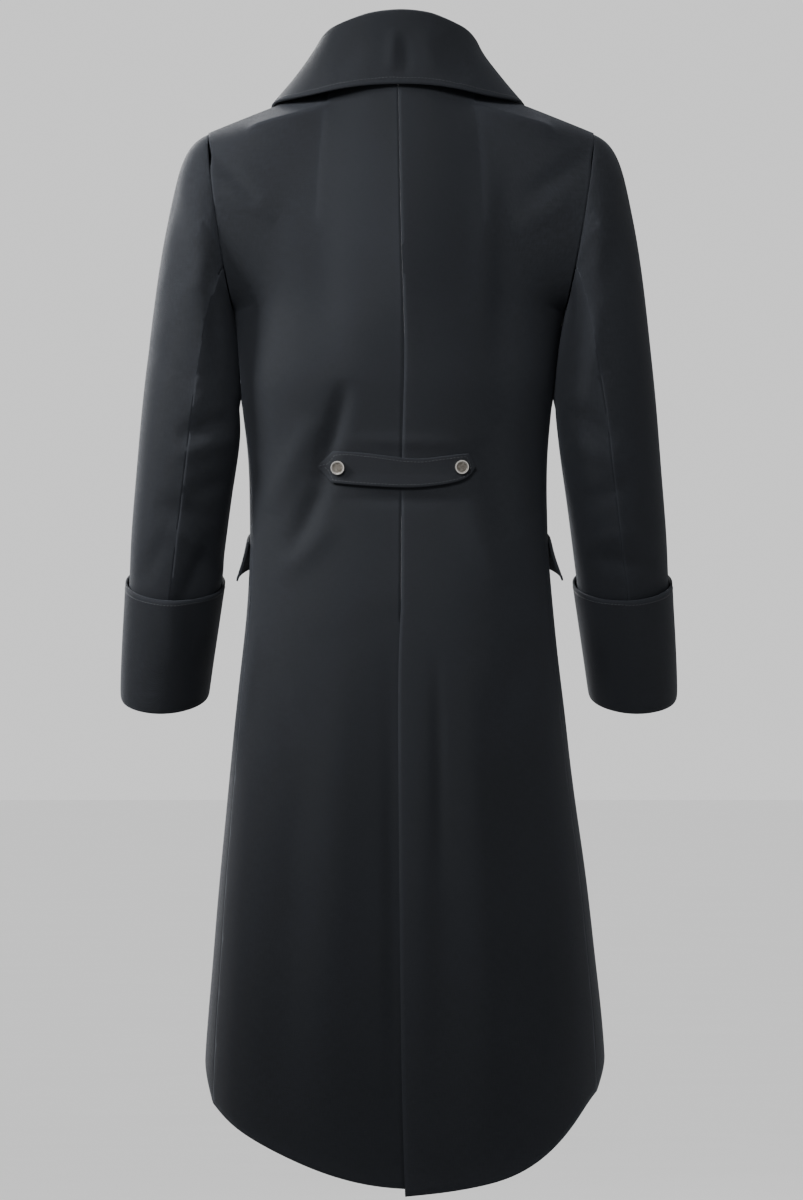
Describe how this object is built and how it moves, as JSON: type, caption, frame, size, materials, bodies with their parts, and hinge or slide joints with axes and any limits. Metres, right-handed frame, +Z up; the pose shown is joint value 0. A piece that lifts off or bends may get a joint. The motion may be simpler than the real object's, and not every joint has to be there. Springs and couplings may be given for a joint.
{
  "type": "tailcoat",
  "caption": "Long near-black tailcoat in worn shape, with a high rolled collar, turned-back cuffs, a half belt at the back waist and rounded tails.",
  "frame": {"origin": "midway between the neck ends of the two shoulder seams, where the wearer's shoulders carry it", "axes": "+Z up, the wearer faces -Y and the wearer's left is +X"},
  "size_m": [0.6288, 0.3103, 1.3266],
  "materials": {
    "coat_cloth": "matte",
    "stud_metal": "satin"
  },
  "bodies": {
    "root": {"back_left": "coat_cloth", "front_left": "coat_cloth", "sleeve_top_left": "coat_cloth", "sleeve_under_left": "coat_cloth", "cuff_left": "coat_cloth", "pocket_flap_left": "coat_cloth", "lapel_left": "coat_cloth", "belt_stud_left": "stud_metal", "back_right": "coat_cloth", "front_right": "coat_cloth", "sleeve_top_right": "coat_cloth", "sleeve_under_right": "coat_cloth", "cuff_right": "coat_cloth", "pocket_flap_right": "coat_cloth", "lapel_right": "coat_cloth", "belt_stud_right": "stud_metal", "collar": "coat_cloth", "half_belt": "coat_cloth", "front_stud_1": "stud_metal", "front_stud_2": "stud_metal", "front_stud_3": "stud_metal"}
  },
  "joints": []
}
